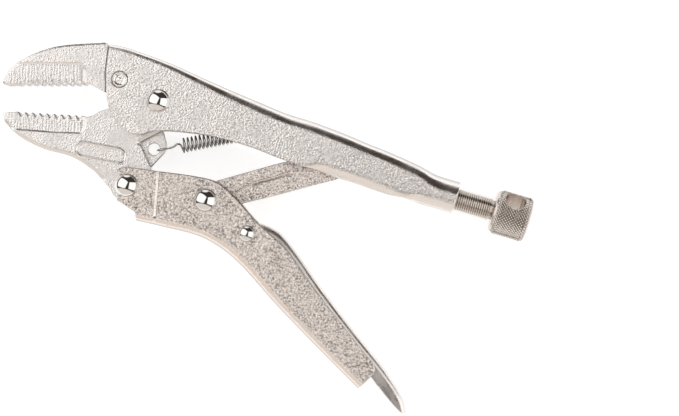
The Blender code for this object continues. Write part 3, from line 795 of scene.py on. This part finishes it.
def plated_steel(name, colour, grain, depth, roughness, pit_shade, side_shade=0.55, crown_grain=0.12):
    """Nickel plate over a pebbled skin on the flat sides, and smoother on edges and bends.
    grain is the pebbles' size and depth their height, in mm. pit_shade and side_shade are the shares of
    the colour kept under the painted shade in the pits and the painted shade on the steep sides."""
    n = Nodes.material(name)
    place = n.add("ShaderNodeTexCoord")
    where = place.outputs["Object"]
    facing = n.math("ABSOLUTE", n.add("ShaderNodeSeparateXYZ", {0: place.outputs["Normal"]}).outputs[2])
    on_side = n.between(facing, 0.90, 0.985, crown_grain, 1.0)
    scale = 1.0 / (grain * MM)
    pebbles = n.add("ShaderNodeTexVoronoi", {"Vector": where, "Scale": scale}, feature="SMOOTH_F1")
    fine = {"Vector": where, "Scale": scale * 1.3, "Detail": 3.0, "Roughness": 0.7}
    specks = n.add("ShaderNodeTexNoise", fine)
    patches = n.add("ShaderNodeTexNoise", {"Vector": where, "Scale": 130.0, "Detail": 3.0}).outputs[0]
    relief = n.math("MULTIPLY_ADD", specks.outputs[0], 0.8, pebbles.outputs["Distance"])
    relief = n.math("MULTIPLY", relief, on_side)
    bump = n.add("ShaderNodeBump", {"Height": relief, "Distance": depth * MM, "Strength": 1.0})
    edge = n.between(n.add("ShaderNodeNewGeometry").outputs["Pointiness"], 0.50, 0.56)
    rough = n.between(patches, 0.3, 0.7, roughness - 0.05, roughness + 0.07)
    rough = n.math("ADD", rough, n.math("MULTIPLY", edge, -0.1))
    thinned = n.between(patches, 0.35, 0.65, 0.55, 1.0)
    # Painted shade: the pebbles' pits, where the fine specks are low, are darkened in colour by pit_shade.
    painted_pit_shade = n.math("MULTIPLY", n.between(specks.outputs[0], 0.54, 0.36), thinned)
    painted_pit_shade = n.math("MULTIPLY", painted_pit_shade, on_side)
    bright = (*colour, 1.0)
    tone = n.blend(painted_pit_shade, bright, [channel * pit_shade for channel in colour] + [1.0])
    # Painted shade: surfaces that turn steeply away from the flat sides are darkened by side_shade, standing
    # in for the dark reflections along the silhouettes.
    tone = n.blend(n.between(facing, 0.72, 0.30), tone, [channel * side_shade for channel in colour] + [1.0])
    tone = n.blend(n.math("MULTIPLY", edge, 0.6), tone, (0.93, 0.89, 0.85, 1.0))
    n.put(n.shader.inputs["Base Color"], tone)
    n.put(n.shader.inputs["Roughness"], rough)
    n.put(n.shader.inputs["Normal"], bump.outputs[0])
    return n.owner


def polished_steel():
    n = Nodes.material("polished_steel")
    where = n.add("ShaderNodeTexCoord").outputs["Object"]
    haze = n.add("ShaderNodeTexNoise", {"Vector": where, "Scale": 700.0, "Detail": 3.0}).outputs[0]
    rings = n.add("ShaderNodeTexNoise", {"Vector": where, "Scale": 260.0, "Detail": 1.0}).outputs[0]
    n.put(n.shader.inputs["Base Color"], n.blend(haze, (0.80, 0.79, 0.77, 1.0), (0.88, 0.87, 0.85, 1.0)))
    n.put(n.shader.inputs["Roughness"], n.between(haze, 0.4, 0.75, 0.035, 0.09))
    bump = n.add("ShaderNodeBump", {"Height": rings, "Distance": 0.012 * MM, "Strength": 1.0})
    n.put(n.shader.inputs["Normal"], bump.outputs[0])
    return n.owner


def bright_wire(name, colour, roughness):
    """Drawn or cut bright metal, with fine streaks and painted shade in the hollows."""
    n = Nodes.material(name)
    where = n.add("ShaderNodeTexCoord").outputs["Object"]
    streaks = n.add("ShaderNodeTexNoise", {"Vector": where, "Scale": 2600.0, "Detail": 2.0}).outputs[0]
    # Painted shade: concave places, such as the thread grooves and the knurl valleys, are darkened in colour.
    hollow = n.between(n.add("ShaderNodeNewGeometry").outputs["Pointiness"], 0.42, 0.52)
    dark = [channel * 0.45 for channel in colour] + [1.0]
    n.put(n.shader.inputs["Base Color"], n.blend(hollow, dark, (*colour, 1.0)))
    n.put(n.shader.inputs["Roughness"], n.between(streaks, 0.3, 0.7, roughness - 0.06, roughness + 0.08))
    bump = n.add("ShaderNodeBump", {"Height": streaks, "Distance": 0.02 * MM, "Strength": 1.0})
    n.put(n.shader.inputs["Normal"], bump.outputs[0])
    return n.owner


# ---------------------------------------------------------------- camera, lights and floor


def camera():
    """Straight above the tool."""
    width, centre, height = 0.2309, (0.0618, -0.0365), 0.90
    data = bpy.data.cameras.new("camera")
    data.lens = data.sensor_width * (height - (MID + UPPER_HALF) * MM) / width
    data.clip_end = 10.0
    obj = bpy.data.objects.new("camera", data)
    obj.location = (*centre, height)
    bpy.context.scene.collection.objects.link(obj)
    bpy.context.scene.camera = obj


def softbox(name, direction, distance, size, power):
    """A square light that faces the tool."""
    data = bpy.data.lights.new(name, "AREA")
    data.shape = "RECTANGLE"
    data.size, data.size_y = size
    data.energy = power
    obj = bpy.data.objects.new(name, data)
    towards = Vector(direction).normalized()
    obj.location = Vector((0.04, -0.03, 0.0)) + towards * distance
    obj.rotation_mode = "QUATERNION"
    obj.rotation_quaternion = towards.to_track_quat("Z", "Y")
    obj.visible_camera = False
    bpy.context.scene.collection.objects.link(obj)


def studio():
    """Two softboxes side by side in a dark room, with pale cloth below them and a white card behind."""
    softbox("left_softbox", (-0.567, 0.268, 0.78), 1.2, (1.62, 1.94), 11.4)
    softbox("right_softbox", (0.797, -0.146, 0.586), 1.2, (1.37, 1.55), 7.7)
    world = bpy.data.worlds.new("studio")
    bpy.context.scene.world = world
    n = Nodes(world)
    ray = n.add("ShaderNodeSeparateXYZ", {0: n.add("ShaderNodeTexCoord").outputs["Generated"]})
    east, north, up = ray.outputs
    slant = n.math("MULTIPLY_ADD", east, 0.277, north)
    cloth = n.between(slant, -0.56, -0.62)
    card = n.between(north, 0.92, 0.96)
    below = n.between(up, 0.02, -0.02)
    tone = n.blend(cloth, (0.05, 0.038, 0.032, 1.0), (0.80, 0.74, 0.69, 1.0))
    tone = n.blend(n.math("MAXIMUM", card, below), tone, (1.0, 1.0, 1.0, 1.0))
    n.put(n.tree.nodes["Background"].inputs[0], tone)


def floor():
    bpy.ops.mesh.primitive_plane_add(size=6.0, location=(0.05, -0.03, -0.0003))
    obj = bpy.context.object
    obj.name = "floor"
    n = Nodes.material("pale_floor")
    n.shader.inputs["Metallic"].default_value = 0.0
    n.shader.inputs["Base Color"].default_value = (0.55, 0.55, 0.55, 1.0)
    n.shader.inputs["Roughness"].default_value = 0.9
    n.shader.inputs["Specular IOR Level"].default_value = 0.1
    n.shader.inputs["Emission Color"].default_value = (1.0, 1.0, 1.0, 1.0)
    n.shader.inputs["Emission Strength"].default_value = 0.72
    obj.data.materials.append(n.owner)


# ---------------------------------------------------------------- assembly


def dress(piece, material, body, node):
    piece.data.materials.clear()
    piece.data.materials.append(material)
    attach(piece, body)
    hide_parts(node)


def main():
    bpy.context.scene.view_settings.view_transform = "Standard"
    camera()
    studio()
    floor()
    satin = plated_steel("satin_nickel", (0.98, 0.935, 0.90), 0.60, 0.12, 0.24, 0.55)
    forged = plated_steel("forged_nickel", (0.94, 0.90, 0.87), 0.50, 0.10, 0.26, 0.72)
    coarse = plated_steel("coarse_nickel", (0.90, 0.82, 0.76), 0.85, 0.34, 0.18, 0.18)
    lever_plate = plated_steel("lever_nickel", (0.90, 0.85, 0.81), 0.30, 0.012, 0.26, 0.85, side_shade=0.9)
    polished = polished_steel()
    wire = bright_wire("spring_steel", (0.56, 0.54, 0.52), 0.12)
    cut = bright_wire("thread_steel", (0.72, 0.66, 0.61), 0.18)
    dress(upper_handle(), satin, "upper_frame", "upper_handle")
    dress(upper_jaw(), forged, "upper_frame", "upper_jaw")
    dress(fixing_rivet(), satin, "upper_frame", "upper_jaw_fixing_rivet")
    dress(lower_jaw(), forged, "jaw", "lower_jaw")
    dress(lower_handle(), coarse, "grip", "lower_handle")
    dress(toggle_link(), coarse, "link", "toggle_link")
    dress(release_lever(), lever_plate, "lever", "release_lever")
    dress(screw_nose(), cut, "screw_feed", "screw_tip")
    dress(threaded_rod(), cut, "screw", "adjusting_screw")
    dress(knurled_knob(), cut, "screw", "adjusting_screw")
    main_rivet = (RIVET_R, RIVET_DOME, SHANK_R)
    small_rivet = (SMALL_RIVET_R, SMALL_DOME, SMALL_SHANK_R)
    for node, centre, half, sizes, body in (
        ("jaw_pivot_rivet", JAW_PIVOT, UPPER_HALF, main_rivet, "upper_frame"),
        ("handle_pivot_rivet", HANDLE_PIVOT, EAR_HALF, main_rivet, "grip"),
        ("link_pivot_rivet", LINK_PIVOT, LOWER_HALF, main_rivet, "grip"),
        ("lever_pivot_rivet", LEVER_PIVOT, LOWER_HALF, small_rivet, "grip"),
    ):
        dress(rivet(f"{node}_domed", centre, half, *sizes), polished, body, node)
    spring = swept("tension_spring_wire", spring_points(), WIRE_R)
    spring.data.materials.append(wire)
    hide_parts("tension_spring")
    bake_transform(spring)


main()
